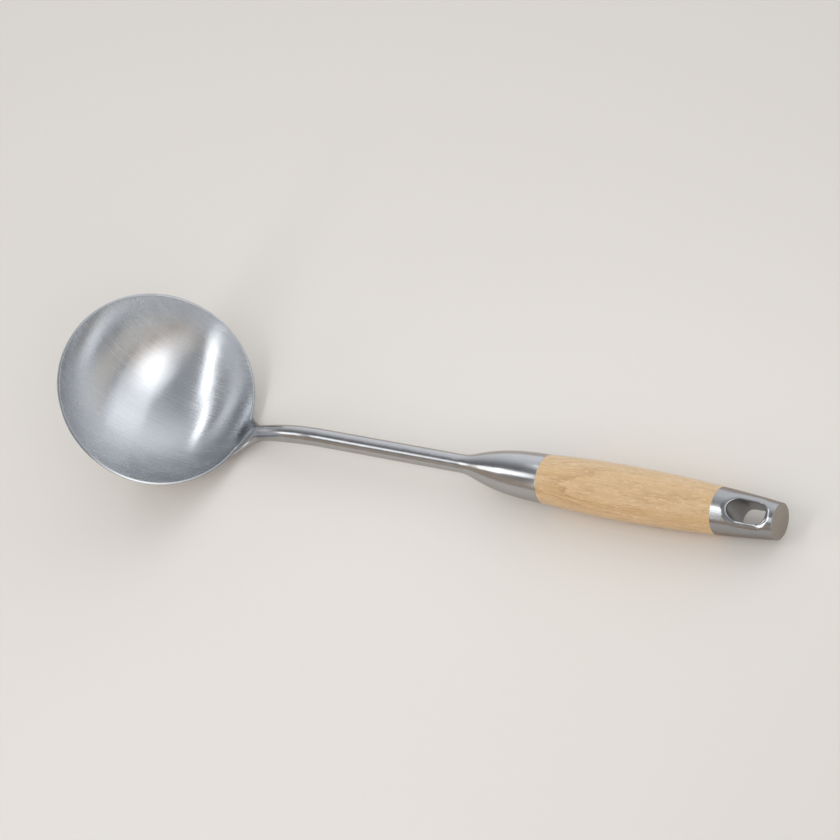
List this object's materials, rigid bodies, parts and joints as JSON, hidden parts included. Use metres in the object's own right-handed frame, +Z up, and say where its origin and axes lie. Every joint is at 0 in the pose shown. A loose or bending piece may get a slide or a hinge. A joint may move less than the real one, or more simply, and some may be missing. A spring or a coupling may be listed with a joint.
{
  "type": "wok ladle",
  "caption": "Long-handled wok ladle with a round brushed steel bowl, a bent steel stem, a bell-shaped ferrule, a turned wood grip and a slotted steel end cap for hanging.",
  "frame": {"origin": "middle of the footprint on the surface that the ladle lies on, resting on its bowl and the belly of its grip", "axes": "+X along the ladle from the bowl to the end cap, +Y across it, +Z up"},
  "size_m": [0.4166, 0.11, 0.0803],
  "materials": {
    "bowl_steel": "stainless steel, brushed in fine near-parallel lines inside, satin outside, bright trimmed lip",
    "stem_steel": "stainless steel, ground and polished to a soft satin along its length",
    "weld_steel": "stainless weld metal, ground and polished",
    "rod_steel": "plain threaded steel rod",
    "grip_wood": "pale straight-grained wood, sanded, with a thin satin lacquer",
    "cap_steel": "cast stainless steel, satin, with a brushed flat end and bright rounded slot edges"
  },
  "bodies": {
    "root": {"bowl": "bowl_steel", "stem": "stem_steel", "bowl_weld": "weld_steel", "ferrule_weld": "weld_steel", "ferrule": "stem_steel", "tang_rod": "rod_steel", "grip": "grip_wood", "end_cap": "cap_steel"}
  },
  "joints": []
}
